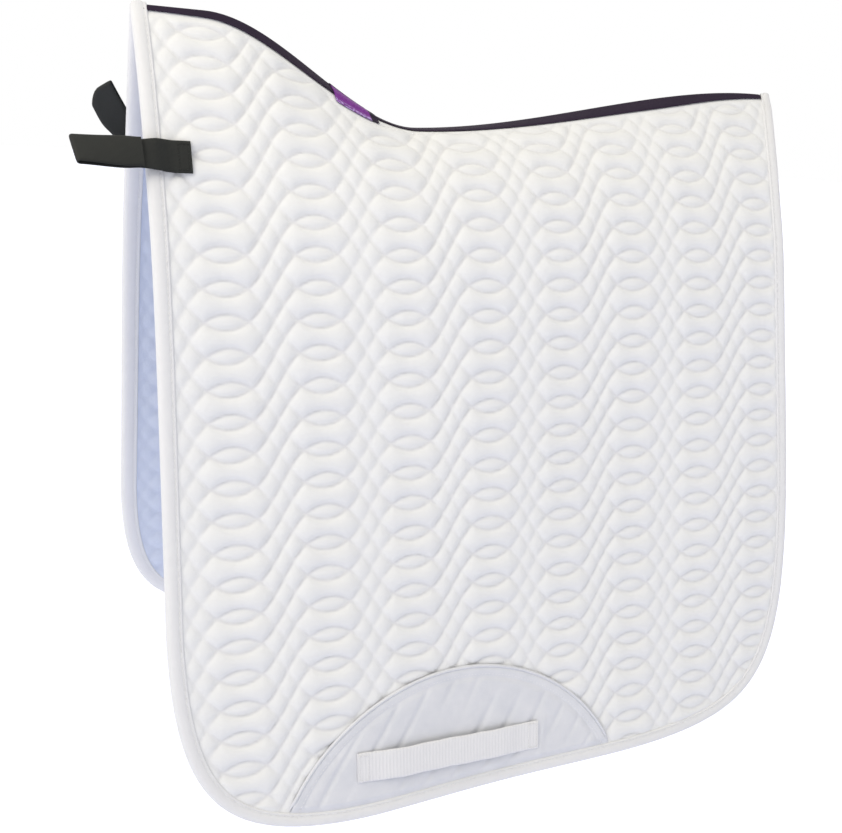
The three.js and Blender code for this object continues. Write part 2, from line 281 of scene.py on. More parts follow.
def quilt(x, s):
    """Height of the quilting from 0 at a stitch to 1, at flat points."""
    rows, columns = PUFF.shape
    even_x, even_s = stitched_place(x, s)
    i = (even_s - FIRST_ROW) / ROW * rows
    j = (even_x - FIRST_COLUMN) / (2 * PITCH) * columns
    i0, j0 = np.floor(i).astype(int), np.floor(j).astype(int)
    fi, fj = i - i0, j - j0

    def corner(down, across):
        return PUFF[(i0 + down) % rows, (j0 + across) % columns]

    upper = corner(0, 0) * (1 - fj) + corner(0, 1) * fj
    lower = corner(1, 0) * (1 - fj) + corner(1, 1) * fj
    uneven = 1 + 0.07 * np.sin(x / 23 + 1.7) * np.sin(s / 19 + 0.4)
    return (upper * (1 - fi) + lower * fi) * uneven


def patch_distance(x, s):
    """Distance in from the girth patch's curved edge."""
    return PATCH_RADIUS - np.hypot(x - PATCH_X, s - PATCH_S)


VALLEY, CREST = 1.3, 5.2  # offsets of the cover's stitches and puffs
LINING_CREST = CREST - 0.9
LIP, SEAM = 3.3, 1.6  # offsets of the cloth under the binding and under the spine tape
SEAM_FADE = 16.0  # how far below the ridge the one gives way to the other
TAPE_CORNERS = (-24, -12, 0, 12, 24)  # shifts along x over which the tape's edge is averaged


def tape_reach(x):
    """How far the spine tape reaches down the panel, with its corners smoothed."""
    return sum(np.interp(x + shift, *zip(*TAPE_REACHES)) for shift in TAPE_CORNERS) / len(TAPE_CORNERS)


def hem(height, x, inside, below_ridge, binding_width):
    """Presses the cloth flat under the binding, the spine tape and the label, and closes it at the edge."""
    pressed = SEAM + (LIP - SEAM) * smooth(below_ridge / SEAM_FADE)
    under_label = smooth((x - LABEL_FRONT + 5) / 5) * smooth((TAG_REAR + 5 - x) / 5)
    reach = tape_reach(x) + LABEL_REACH * under_label
    free = smooth((inside - binding_width + 1.5) / 5.5) * smooth((below_ridge + 1 - reach) / 8)
    return (pressed + (height - pressed) * free) * smooth((inside + 2) / 5)


def cover_offset(x, s, inside, below_ridge):
    height = VALLEY + (CREST - VALLEY) * quilt(x, s)
    pressed = smooth((patch_distance(x, s) + 5) / 8)
    height = height * (1 - pressed) + (VALLEY + 0.2 * height) * pressed
    return hem(height, x, inside, below_ridge, BINDING_WIDTH)


def lining_offset(x, s, inside, below_ridge):
    height = VALLEY + (LINING_CREST - VALLEY) * quilt(x, s)
    return -hem(height, x, inside, below_ridge, BINDING_WIDTH * WIDER)


# ---------------------------------------------------------------- mesh helpers
def mesh_object(name, points, faces, uv, material, stitched=None):
    """A smooth mesh from points, faces as rows of 4 corners, and flat places. All are in metres."""
    mesh = bpy.data.meshes.new(name)
    points, faces = np.asarray(points, np.float32), np.asarray(faces, np.int32)
    mesh.vertices.add(len(points))
    mesh.vertices.foreach_set("co", points.ravel())
    mesh.loops.add(faces.size)
    mesh.loops.foreach_set("vertex_index", faces.ravel())
    mesh.polygons.add(len(faces))
    mesh.polygons.foreach_set("loop_start", np.arange(0, faces.size, 4, dtype=np.int32))
    mesh.polygons.foreach_set("use_smooth", np.ones(len(faces), bool))
    mesh.update(calc_edges=True)
    for layer, places in (("flat", uv), ("stitched", stitched)):
        if places is not None:
            corners = np.asarray(places, np.float32)[faces.ravel()]
            mesh.uv_layers.new(name=layer).data.foreach_set("uv", corners.ravel())
    mesh.validate()
    mesh.materials.append(material)
    made = bpy.data.objects.new(name, mesh)
    bpy.context.scene.collection.objects.link(made)
    return made


def grid_faces(rows, columns, flip=False, ring=False):
    """Faces of a grid of points stored row by row. ring joins the last column to the first."""
    across = columns if ring else columns - 1
    i, j = np.meshgrid(np.arange(rows - 1), np.arange(across), indexing="ij")
    k = (j + 1) % columns
    faces = np.stack([i * columns + j, i * columns + k, (i + 1) * columns + k, (i + 1) * columns + j], -1)
    faces = faces.reshape(-1, 4)
    return faces[:, ::-1] if flip else faces


CLOTH_INSET = 1.5  # how far the cloths stop short of the free edge and of the ridge
SNAP = 0.6  # grid points within this share of a step from a cloth's edge move onto it


def quilted_sheet(name, side, offset_at, step, material, outwards):
    """A cloth of the panel as an even grid, trimmed to the outline and snapped onto it."""
    x = np.arange(FRONT_X - 1, REAR_TOP_X, step)
    s = np.arange(ridge(FRONT_X) - 3, BOTTOM_S + 3, step)
    rows, columns = len(s), len(x)
    x, s = np.meshgrid(x, s)
    distance = np.minimum(edge_distance(x, s), s - ridge(x)) - CLOTH_INSET
    ds, dx = np.gradient(distance, step)
    size = np.maximum(np.hypot(dx, ds), 0.3)
    snap = np.abs(distance) < SNAP * step
    x = np.where(snap, x - distance * dx / size**2, x)
    s = np.where(snap, s - distance * ds / size**2, s)
    keep = snap | (distance > 0)
    faces = grid_faces(rows, columns)
    faces = faces[keep.ravel()[faces].all(1)]
    used, faces = np.unique(faces, return_inverse=True)
    x, s = x.ravel()[used], s.ravel()[used]
    offset = offset_at(x, s, edge_distance(x, s), s - ridge(x))
    points = panel(x, s, offset, side)
    faces = faces.reshape(-1, 4)
    if (side < 0) != outwards:
        faces = faces[:, ::-1]
    uv = np.stack([x, -s], -1) * MM
    return mesh_object(name, points, faces, uv, material, np.stack(stitched_place(x, s), -1) * MM)


def faces_out(points, faces):
    """The same faces, turned to face out of the closed body that they make."""
    a, b, c, d = (points[faces[:, k]] - points.mean(0) for k in range(4))
    volume = (a * np.cross(b, c)).sum() + (a * np.cross(c, d)).sum()
    return faces if volume > 0 else faces[:, ::-1]


def sweep(name, rings, uv, material):
    """A closed section (columns) carried along stations (rows), with flat ends."""
    rows, columns = rings.shape[:2]
    faces = [grid_faces(rows, columns, ring=True)]
    strip = np.arange(columns // 2 - 1)
    cap = np.stack([strip, strip + 1, columns - 2 - strip, columns - 1 - strip], -1)
    faces += [cap, cap[:, ::-1] + (rows - 1) * columns]
    points, uv = rings.reshape(-1, 3), uv.reshape(-1, 2)
    made = mesh_object(name, points, faces_out(points, np.concatenate(faces)), uv, material)
    ends = np.zeros((len(made.data.edges), 2), np.int32)
    made.data.edges.foreach_get("vertices", ends.ravel())
    station = ends // columns
    sharp = (station[:, 0] == station[:, 1]) & np.isin(station[:, 0], (0, rows - 1))
    made.data.attributes.new("sharp_edge", "BOOLEAN", "EDGE").data.foreach_set("value", sharp)
    return made


def band_section(half, wall, count=12):
    """Ring of a flat band: across from -half to half on its outer face, and back on its inner face."""
    across = -half * np.cos(np.linspace(0, math.pi, count))
    out = wall / 2 * (1 - (across / half) ** 8) ** 0.5 + 0.08
    return np.concatenate([across, across[::-1]]), np.concatenate([out, -out[::-1]])


def flat_uv(along, across):
    along, across = np.broadcast_arrays(along, across)
    return np.stack([along, across], -1) * MM


STITCH_TURNS = np.linspace(0, 2 * math.pi, 6, endpoint=False)
STITCH_SHAPE = [(-1, 0.3), (-0.6, 0.85), (0, 1), (0.6, 0.85), (1, 0.3)]  # place along a stitch, its girth
STITCH_LENGTH, STITCH_RISE = 0.72, 0.25  # a share of the pitch, and millimetres that its middle stands up


def stitch_row(path, outward, pitch, radius=0.32):
    """Stitches along a path in metres: points and faces. pitch and radius are in millimetres."""
    even, _, direction = resample(path, pitch * MM)
    share, stations = np.linspace(0, 1, len(even)), np.linspace(0, 1, len(path))
    out = np.stack([np.interp(share, stations, outward[:, k]) for k in range(3)], -1)
    aside = np.cross(direction, out)
    points = []
    for t, girth in STITCH_SHAPE:
        middle = even + direction * t * pitch * STITCH_LENGTH / 2 * MM + out * STITCH_RISE * (1 - t * t) * MM
        for turn in STITCH_TURNS:
            spoke = out * math.cos(turn) + aside * math.sin(turn)
            points.append(middle + spoke * radius * girth * MM)
    one = len(points)
    points = np.stack(points, 1).reshape(-1, 3)
    faces = grid_faces(len(STITCH_SHAPE), len(STITCH_TURNS), ring=True)
    faces = (faces[None] + one * np.arange(len(even))[:, None, None]).reshape(-1, 4)
    return points, faces


def box_of_stitches(low, high, reach):
    """A rectangle, as flat places 1 mm apart: from low to high along, and reach to each side."""
    box = np.array([(low, -reach), (high, -reach), (high, reach), (low, reach), (low, -reach)])
    return resample(box, 1.0)[0].T


def sewing(name, rows, material):
    """Several rows of stitches as one piece."""
    points, faces, start = [], [], 0
    for row_points, row_faces in rows:
        points.append(row_points)
        faces.append(row_faces + start)
        start += len(row_points)
    points, faces = np.concatenate(points), np.concatenate(faces)
    return mesh_object(name, points, faces_out(points, faces), points[:, :2], material)


# ---------------------------------------------------------------- materials
class Nodes:
    """Short calls that add shader nodes to one material."""

    def __init__(self, name, color, roughness, sheen=0.0, specular=0.3):
        self.material = bpy.data.materials.new(name)
        self.material.use_nodes = True
        self.tree = self.material.node_tree
        self.shader = self.tree.nodes["Principled BSDF"]
        self.set("Base Color", (*color, 1))
        self.set("Roughness", roughness)
        self.set("Sheen Weight", sheen)
        self.set("Sheen Roughness", 0.5)
        self.set("Specular IOR Level", specular)
        self.uv = self.add("ShaderNodeUVMap", uv_map="flat").outputs[0]

    def set(self, socket, value):
        self.shader.inputs[socket].default_value = value

    def add(self, kind, inputs=None, **settings):
        node = self.tree.nodes.new(kind)
        for key, value in settings.items():
            setattr(node, key, value)
        for key, value in (inputs or {}).items():
            self.feed(node.inputs[key], value)
        return node

    def feed(self, socket, value):
        if isinstance(value, bpy.types.NodeSocket):
            self.tree.links.new(value, socket)
        else:
            socket.default_value = value

    def math(self, operation, a, b=0.0, c=0.0):
        return self.add("ShaderNodeMath", {0: a, 1: b, 2: c}, operation=operation).outputs[0]

    def noise(self, scale, detail=2.0, stretch=(1, 1, 1)):
        mapped = self.add("ShaderNodeMapping", {"Vector": self.uv, "Scale": stretch}).outputs[0]
        inputs = {"Vector": mapped, "Scale": scale, "Detail": detail}
        return self.add("ShaderNodeTexNoise", inputs).outputs[0]

    def weave(self, period):
        """Over and under threads of a plain weave."""
        u, v = self.axes()
        turns = 2 * math.pi / (period * MM)
        a = self.math("SINE", self.math("MULTIPLY", u, turns))
        b = self.math("SINE", self.math("MULTIPLY", v, turns))
        return self.math("MULTIPLY_ADD", self.math("MULTIPLY", a, b), 0.5, 0.5)

    def spread(self, value, low, high):
        """0 at low, 1 at high, and smooth between."""
        inputs = {"Value": value, "From Min": low, "From Max": high}
        return self.add("ShaderNodeMapRange", inputs, interpolation_type="SMOOTHSTEP").outputs[0]

    def axes(self):
        split = self.add("ShaderNodeSeparateXYZ", {0: self.uv})
        return split.outputs[0], split.outputs[1]

    def bump(self, height, distance, strength=1.0, normal=None):
        inputs = {"Height": height, "Distance": distance * MM, "Strength": strength}
        if normal is not None:
            inputs["Normal"] = normal
        return self.add("ShaderNodeBump", inputs).outputs[0]

    def normal(self, value):
        self.feed(self.shader.inputs["Normal"], value)

    def mix(self, factor, low, high):
        low, high = ((*v, 1) if isinstance(v, tuple) else v for v in (low, high))
        return self.add("ShaderNodeMix", {0: factor, 6: low, 7: high}, data_type="RGBA").outputs[2]

    def color(self, factor, low, high):
        self.feed(self.shader.inputs["Base Color"], self.mix(factor, low, high))


def seams(n):
    """The quilting's sewn lines: 1 on a stitch, fading to 0 on the puffs."""
    place = n.add("ShaderNodeUVMap", uv_map="stitched").outputs[0]
    split = n.add("ShaderNodeSeparateXYZ", {0: place})
    phase = n.math("MULTIPLY_ADD", split.outputs[0], math.pi / (PITCH * MM), -math.pi * FIRST_COLUMN / PITCH)
    cosine, sine = n.math("COSINE", phase), n.math("SINE", phase)
    row = n.math("MULTIPLY_ADD", split.outputs[1], 1 / (ROW * MM), -FIRST_ROW / ROW)
    squared = n.math("MULTIPLY", cosine, cosine)
    swing = n.math("MULTIPLY", cosine, n.math("MULTIPLY_ADD", squared, -FLATTEN, SWING))
    steep = n.math("MULTIPLY_ADD", squared, -3 * FLATTEN, SWING)
    slope = n.math("MULTIPLY", n.math("MULTIPLY", sine, steep), ROW * math.pi / PITCH)
    stretch = n.math("SQRT", n.math("MULTIPLY_ADD", slope, slope, 1.0))
    lens = n.spread(n.math("ABSOLUTE", cosine), 0.5, 0.75)
    rising = n.spread(sine, -0.5, 0.5)
    pull = {1: n.math("MAXIMUM", n.math("MAXIMUM", lens, rising), 0.25),
            -1: n.math("MAXIMUM", lens, n.math("MULTIPLY_ADD", rising, -0.1, 0.25))}
    lines = []
    for family, strength in pull.items():
        wave = n.math("MULTIPLY_ADD", swing, -family, row)
        off_line = n.math("ABSOLUTE", n.math("SUBTRACT", wave, n.math("ROUND", wave)))
        distance = n.math("DIVIDE", n.math("MULTIPLY", off_line, ROW), stretch)
        lines.append(n.math("MULTIPLY", n.spread(distance, 1.7, 0.1), strength))
    return n.math("MAXIMUM", *lines)


def cloth(name, low, high, roughness, sheen, period, crumple=0.35, sewn=False):
    """Cotton: a plain weave, soft crumples, and slight changes of colour. sewn adds the quilting's seams, as
    bumps and as painted shade that darkens the colour along them.
    """
    n = Nodes(name, high, roughness, sheen)
    fine = n.bump(n.weave(period), 0.06, 0.6)
    if sewn:
        seam = seams(n)
        mottle = n.math("MULTIPLY_ADD", n.noise(55, 3), 0.5, 0.5)
        # Painted shade: along the seams the colour falls to the darker colour, as in the stitched grooves; on
        # the puffs it varies with a random mottle.
        n.color(n.math("MULTIPLY", mottle, n.math("SUBTRACT", 1.0, seam)), low, high)
        fine = n.bump(seam, -0.4, 0.6, fine)
        gathers = n.math("MULTIPLY", n.noise(420, 2), n.math("MULTIPLY_ADD", seam, 0.8, 0.2))
        fine = n.bump(gathers, 0.5, 0.8, fine)
    else:
        n.color(n.noise(55, 3), low, high)
    soft = n.bump(n.noise(260, 4), crumple, 0.55, fine)
    n.normal(n.bump(n.noise(70, 2), crumple * 2, 0.4, soft))
    return n.material


def ribbed(name, low, high, roughness, sheen, rib, depth, across="u"):
    """Woven tape or webbing with ribs, whose colour is darker in the troughs as painted shade and varies at
    random.
    """
    n = Nodes(name, high, roughness, sheen)
    u, v = n.axes()
    ribs = n.math("SINE", n.math("MULTIPLY", u if across == "u" else v, 2 * math.pi / (rib * MM)))
    height = n.math("MULTIPLY_ADD", ribs, 0.5, 0.5)
    # Painted shade in the troughs between the ribs, mixed with a random tone from the noise.
    shade = n.math("MULTIPLY_ADD", n.noise(90, 3), 0.45, n.math("MULTIPLY", height, 0.55))
    n.color(shade, low, high)
    n.normal(n.bump(n.weave(0.9), 0.08, 0.5, n.bump(height, depth, 0.9)))
    return n.material


def woven_label():
    """Violet satin weave: dark along the fold over the spine, and paler at its frayed edges."""
    n = Nodes("label_cloth", (0.18, 0.04, 0.26), 0.6, 0.0, 0.15)
    v = n.math("ABSOLUTE", n.axes()[1])
    mottle = n.noise(420, 4)
    face = n.mix(mottle, (0.11, 0.018, 0.17), (0.24, 0.055, 0.34))
    pale = n.math("MULTIPLY", n.spread(v, 19 * MM, 22.5 * MM), n.spread(mottle, 0.4, 0.6))
    edged = n.mix(pale, face, (0.42, 0.31, 0.62))
    n.feed(n.shader.inputs["Base Color"], n.mix(n.spread(v, 4.6 * MM, 3.4 * MM), edged, (0.012, 0.006, 0.02)))
    n.normal(n.bump(n.weave(0.6), 0.07, 0.5))
    return n.material


# Name, darker and lighter colour, roughness, sheen, spacing of the threads or ribs, depth of the relief
MATERIALS = {
    # The cover's darker colour is its random mottled tone and also the painted shade in its stitched grooves.
    "cover": cloth("cotton_cover", (0.675, 0.68, 0.71), (0.73, 0.74, 0.76), 0.85, 0.1, 0.7, sewn=True),
    # The lining's colours are painted shade: darker and bluer than the cover's, for the inside of the pad,
    # which lies in shadow.
    "lining": cloth("cotton_lining", (0.52, 0.57, 0.70), (0.58, 0.63, 0.75), 0.9, 0.05, 0.7),
    "binding": ribbed("edge_binding", (0.66, 0.665, 0.70), (0.73, 0.735, 0.755), 0.8, 0.1, 0.8, 0.08),
    "patch": cloth("patch_cloth", (0.55, 0.57, 0.63), (0.69, 0.695, 0.735), 0.6, 0.1, 0.5, 0.2),
    "webbing": ribbed("white_webbing", (0.65, 0.655, 0.69), (0.71, 0.71, 0.74), 0.7, 0.1, 2.9, 0.14),
    "strap": ribbed("black_webbing", (0.005, 0.006, 0.007), (0.014, 0.016, 0.014), 0.6, 0.05, 0.9, 0.12, "v"),
    "hook": cloth("hook_cloth", (0.008, 0.009, 0.009), (0.03, 0.03, 0.032), 0.95, 0.0, 1.1, 0.3),
    "tape": ribbed("spine_tape", (0.007, 0.002, 0.012), (0.019, 0.007, 0.032), 0.75, 0.0, 0.8, 0.1),
    "label": woven_label(),
    "thread": ribbed("sewing_thread", (0.68, 0.68, 0.70), (0.78, 0.78, 0.79), 0.6, 0.1, 0.5, 0.05),
}


# ---------------------------------------------------------------- pieces
def place(piece, slot, nodes=()):
    if nodes:
        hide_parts(*nodes)
    return piece


COVER_STEP, LINING_STEP = 1.6, 2.6  # spacing of the cloths' grids


def across_fold(piece):
    """Bakes the piece's placement into its points. The cloth's bend between the upper panel and its flap is
    already in its shape.
    """
    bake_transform(piece)


def quilted_panel(name, side):
    cover = quilted_sheet(f"{name}_quilted_cover", side, cover_offset, COVER_STEP, MATERIALS["cover"], True)
    nodes = [f"{name}_{half}_{layer}" for half in ("upper", "flap") for layer in ("cover", "wadding")]
    place(cover, "cotton_cover", nodes)
    across_fold(cover)
    lining = quilted_sheet(f"{name}_quilted_lining", side, lining_offset, LINING_STEP, MATERIALS["lining"],
                           False)
    place(lining, "cotton_lining", [f"{name}_upper_lining", f"{name}_flap_lining"])
    across_fold(lining)


# Half of the binding's section, from its sewn lip to its nose: distance in from the edge, offset
LIP_PATH = [(BINDING_WIDTH, 3.5), (11.4, 4.3), (10.2, 4.35), (9.6, 4.05), (9.0, 4.4), (7.0, 5.0),
            (4.6, 5.15), (2.6, 4.7), (1.1, 3.6), (0.25, 2.0), (0.0, 0.0)]
INNER_LIP = [(BINDING_WIDTH, 3.2), (6.0, 3.6), (1.0, 2.2)]  # the face that lies on the panel
SEWN_AT, THREAD_OFFSET = 9.6, 4.15  # the binding's seam: distance in from the edge, offset of its thread
TAPE_CLEARANCE = 8.0  # how far below the ridge that seam starts
GATHER, GATHER_AT, GATHER_WIDTH = 0.18, 8.2, 2.2  # height and place of the ripples beside that seam


def binding_points(x, s, offset, side):
    """Points of the binding, which is pressed thin at the spine and meets its twin over it."""
    below = s - ridge(x)
    offset = offset * (0.75 + 0.25 * smooth((below - 5) / 16))
    meet = (ridge(x, offset) - ridge(x)) * (1 - smooth(below / 14))
    return panel(x, s + meet, offset, side)


def outward(x, s, side):
    """Directions out of the panel at flat points."""
    angle = angle_at(x, s)
    return np.stack([0 * angle, side * np.cos(angle), np.sin(angle)], -1)


def binding(name, side):
    flat, along, inwards = outline(2.5)
    outer = np.array(LIP_PATH + [(a, -b) for a, b in LIP_PATH[-2::-1]])
    inner = np.array([(a, -b) for a, b in INNER_LIP] + [(0.7, 0.0)] + INNER_LIP[::-1])
    section = np.concatenate([outer, inner])
    a, b = section[:, 0], section[:, 1]
    gather = np.sin(along * 0.9 + 2 * np.sin(along / 31))[:, None] * GATHER
    pucker = gather * np.exp(-(((a - GATHER_AT) / GATHER_WIDTH) ** 2)) * np.sign(b)
    a = a * np.where(b < 0, WIDER, 1)
    x = flat[:, :1] + inwards[:, :1] * a
    s = flat[:, 1:] + inwards[:, 1:] * a
    rings = binding_points(x, s, b + pucker, side)
    uv = flat_uv(along[:, None], a + 20 * (b < 0))
    made = sweep(f"{name}_edge_binding", rings, uv, MATERIALS["binding"])
    place(made, "edge_binding", [f"{name}_{k}_binding" for k in ("front", "rear", "flap")])
    across_fold(made)

    rows = []
    for face, wider in ((1, 1.0), (-1, WIDER)):
        x, s = (flat + inwards * SEWN_AT * wider).T
        clear = s > ridge(x) + TAPE_CLEARANCE
        x, s = x[clear], s[clear]
        points = binding_points(x, s, face * THREAD_OFFSET, side)
        rows.append(stitch_row(points, face * outward(x, s, side), 3.6))
    made = sewing(f"{name}_binding_stitches", rows, MATERIALS["thread"])
    across_fold(place(made, "edge_binding"))


PATCH_SKIN, PATCH_SEAM = 4.2, 6.5  # offset of the patch at its sewn edge, distance of its inner seam
PATCH_TUCK, PATCH_UNDER = 3.42, 2.0  # its offset under the binding, and how far in it goes there
CORD_RADIUS, CORD_OFFSET = 1.35, 4.3  # the piping round the patch
CORD_TUCK, CORD_TUCK_FROM = 2.6, math.radians(60)  # how deep its ends go under the binding, and from where
LOOP_FRONT, LOOP_REAR, LOOP_TAB = -89.0, 76.0, 11.0  # the girth loop's ends, and the length sewn down at each
LOOP_RAMP, LOOP_BOW = 26.0, 2.5  # where it rises from the sewn ends, and how far it bows out
LOOP_WIDTH, LOOP_SKIN = 25.0, 6.5
LOOP_FRONT_S, LOOP_MIDDLE_S, LOOP_REAR_S = 425.5, 428.0, 431.0  # how far down the panel it is


def patch_arc(radius, count=150):
    angle = np.linspace(PATCH_FROM, PATCH_TO, count)
    return PATCH_X + radius * np.sin(angle), PATCH_S - radius * np.cos(angle)


def puckers(x, s):
    """Pulled creases of the patch, which rise steeply to the rear. The offset is 0 in a crease."""
    wander = 5 * np.sin(x / 37 + s / 51) + 3 * np.sin(s / 23 - x / 90)
    turns = (s + 1.7 * x + wander) / 41.0
    from_crease = np.abs(turns - np.round(turns)) * 21
    depth = smooth(0.75 + 0.5 * np.sin(x / 29 + s / 17) + 0.3 * np.sin(x / 13 - s / 31))
    return 1 - depth * np.exp(-((from_crease / 2.6) ** 2))


def girth_patch(name, side):
    """A gathered half-moon of cloth, from its arc down to under the binding."""
    rows, columns = 90, 200
    edge_x, edge_s = patch_arc(PATCH_RADIUS, columns)
    edge = outline(2.0)[0]
    edge = edge[edge[:, 1] > BOTTOM_S - 31]
    bottom = np.interp(edge_x, edge[:, 0], edge[:, 1]) - BINDING_WIDTH + PATCH_UNDER
    t = np.linspace(0, 1, rows)[:, None]
    x = np.broadcast_to(edge_x, (rows, columns))
    s = edge_s + np.maximum(bottom - edge_s, 0.5) * t
    fold_x = LOOP_REAR + 5 - 0.12 * (s - LOOP_REAR_S + 1)
    pulled_up = np.exp(-(((x - fold_x) / 2.6) ** 2)) * smooth((s - 412) / 10)  # a fold behind the girth loop
    inside = patch_distance(x, s)
    seam = np.exp(-(((inside - PATCH_SEAM) / 1.3) ** 2))
    rim = smooth((inside - PATCH_SEAM) / 7)
    hem_puff = 0.9 * smooth(inside / 2) * (1 - smooth((inside - PATCH_SEAM) / 2)) - 0.3 * seam
    tucked = smooth((s[-1] - PATCH_UNDER - s) / 7)
    offset = PATCH_SKIN + hem_puff + rim * (1.2 * puckers(x, s) + 0.9 * pulled_up)
    offset = PATCH_TUCK + (offset - PATCH_TUCK) * tucked
    points = panel(x, s, offset, side).reshape(-1, 3)
    faces, uv = grid_faces(rows, columns, flip=side > 0), flat_uv(x, -s).reshape(-1, 2)
    made = mesh_object(f"{name}_girth_patch_cloth", points, faces, uv, MATERIALS["patch"])
    place(made, "patch_cloth", [f"{name}_girth_patch"])
    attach(made, f"{name}_flap")


def patch_piping(name, side):
    """The cord round the patch's arc, whose ends pass under the binding, and the patch's inner seam."""
    turns = np.linspace(0, 2 * math.pi, 12, endpoint=False)
    x, s = (v[:, None] for v in patch_arc(PATCH_RADIUS + 0.6))
    steps = np.arange(len(x))[:, None]
    angle = np.linspace(PATCH_FROM, PATCH_TO, len(x))[:, None]
    radial = CORD_RADIUS * np.cos(turns)
    tucked = CORD_TUCK * smooth((np.abs(angle) - CORD_TUCK_FROM) / math.radians(4))
    height = CORD_OFFSET - tucked + CORD_RADIUS * np.sin(turns)
    rings = panel(x + radial * np.sin(angle), s - radial * np.cos(angle), height, side)
    uv = flat_uv(steps * 2.0, turns * CORD_RADIUS)
    made = sweep(f"{name}_patch_cord", rings, uv, MATERIALS["patch"])
    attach(place(made, "patch_cloth", [f"{name}_patch_piping"]), f"{name}_flap")

    x, s = patch_arc(PATCH_RADIUS - PATCH_SEAM, 240)
    row = stitch_row(panel(x, s, PATCH_SKIN + 0.3, side), outward(x, s, side), 3.2, radius=0.25)
    made = sewing(f"{name}_patch_stitches", [row], MATERIALS["thread"])
    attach(place(made, "patch_cloth"), f"{name}_flap")


def loop_place(x, across, out, side):
    """Points of the girth loop, which bows out between its two sewn ends."""
    rise = smooth((x - LOOP_FRONT - LOOP_TAB) / LOOP_RAMP)
    lift = rise * smooth((LOOP_REAR - LOOP_TAB - x) / LOOP_RAMP)
    middle = LOOP_FRONT_S + (LOOP_REAR_S - LOOP_FRONT_S) * (x - LOOP_FRONT) / (LOOP_REAR - LOOP_FRONT)
    return panel(x, middle + across, LOOP_SKIN + out + LOOP_BOW * lift, side)


def girth_webbing(name, side):
    x = np.linspace(LOOP_FRONT, LOOP_REAR, 160)[:, None]
    across, out = band_section(LOOP_WIDTH / 2, 1.5)
    edge = 0.2 * np.sin(x / 4.1) + 0.2 * np.sin(x / 11)
    rings = loop_place(x, across + edge, out, side)
    made = sweep(f"{name}_girth_webbing", rings, flat_uv(x, across), MATERIALS["webbing"])
    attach(place(made, "white_webbing", [f"{name}_girth_loop"]), f"{name}_flap")
    reach, inset = LOOP_WIDTH / 2 - 2, 1.8
    rows = []
    for start, end in ((LOOP_FRONT, LOOP_FRONT + LOOP_TAB), (LOOP_REAR - LOOP_TAB, LOOP_REAR)):
        x, across = box_of_stitches(start + inset, end - inset, reach)
        points = loop_place(x, across, 0.8, side)
        rows.append(stitch_row(points, outward(x, LOOP_MIDDLE_S + across, side), 2.6, radius=0.25))
    made = sewing(f"{name}_girth_stitches", rows, MATERIALS["thread"])
    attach(place(made, "white_webbing"), f"{name}_flap")


FOLD_ROUNDING = 1.5  # radius of a tape's fold over the ridge
TAPE_FRONT, TAPE_REAR = FRONT_X + 12, REAR_X + 11
INNER_TAPE_REACH = -4.0  # the inside tape's edges, past the outside tape's


def over_spine(name, start, end, reach, offset, wall, material, facing=1, hug=0.0):
    """A tape folded over the spine, outside or (facing=-1) inside, on the seam's surface at offset 0.
    Its edges lie past the spine tape's by reach, and hug is how far it sinks there."""
    x = np.linspace(start, end, round((end - start) / 2) + 1)[:, None]
    share, out = band_section(1.0, wall, 34)
    a = share * (tape_reach(x) + reach)
    rise = offset + out - hug * smooth((np.abs(a) - tape_reach(x) + 0.3) / 2)
    below_ridge = np.abs(a) + ridge(x, facing * SEAM) - ridge(x)
    rise = facing * (rise + (LIP - SEAM) * smooth(below_ridge / SEAM_FADE))
    x_at, rise = np.broadcast_arrays(x, rise)
    crest = ridge(x_at, facing * SEAM)
    slant = np.sqrt(a * a + FOLD_ROUNDING**2)
    lean = a / slant
    across = panel(x_at, crest + np.abs(a), facing * SEAM, 1)[..., 1] / MM
    height = panel(x_at, crest + slant - FOLD_ROUNDING, facing * SEAM, 1)[..., 2] / MM
    angle = angle_at(x_at, crest + np.abs(a))
    y = np.sign(a) * across + rise * np.cos(angle) * lean
    z = height + rise * (1 + (np.sin(angle) - 1) * np.abs(lean))
    rings = np.stack([x_at, y, z], -1) * MM
    return sweep(name, rings, flat_uv(x, a), MATERIALS[material])


def spine():
    tape = over_spine("spine_outer_tape", TAPE_FRONT, TAPE_REAR, 0.0, 0.3, 0.9, "tape")
    place(tape, "spine_tape", ["spine_tape"])
    inner = over_spine("spine_inner_tape", TAPE_FRONT, TAPE_REAR, INNER_TAPE_REACH, 0.3, 0.9, "tape",
                       facing=-1)
    place(inner, "spine_tape", ["spine_lining_tape"])
    label = over_spine("spine_woven_label", LABEL_FRONT, TAG_FRONT, LABEL_REACH, 1.3, 0.7, "label", hug=0.85)
    place(label, "label_cloth", ["spine_label"])
    tag = over_spine("spine_size_tag", TAG_FRONT, TAG_REAR, TAG_REACH, 1.2, 0.5, "tape", hug=0.8)
    place(tag, "spine_tape", ["size_tag"])
    for piece in (tape, inner, label, tag):
        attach(piece, "pad_top")


# ---------------------------------------------------------------- front straps
STRAP_X, STRAP_S = -207.0, -45.8  # a strap's joint, on the panel
STRAP_WIDTH, STRAP_WALL = 24.0, 1.4
STRAP_CREASE, STRAP_BASE = 15.0, 13.0  # from its joint forwards to its turn, and back to its sewn end
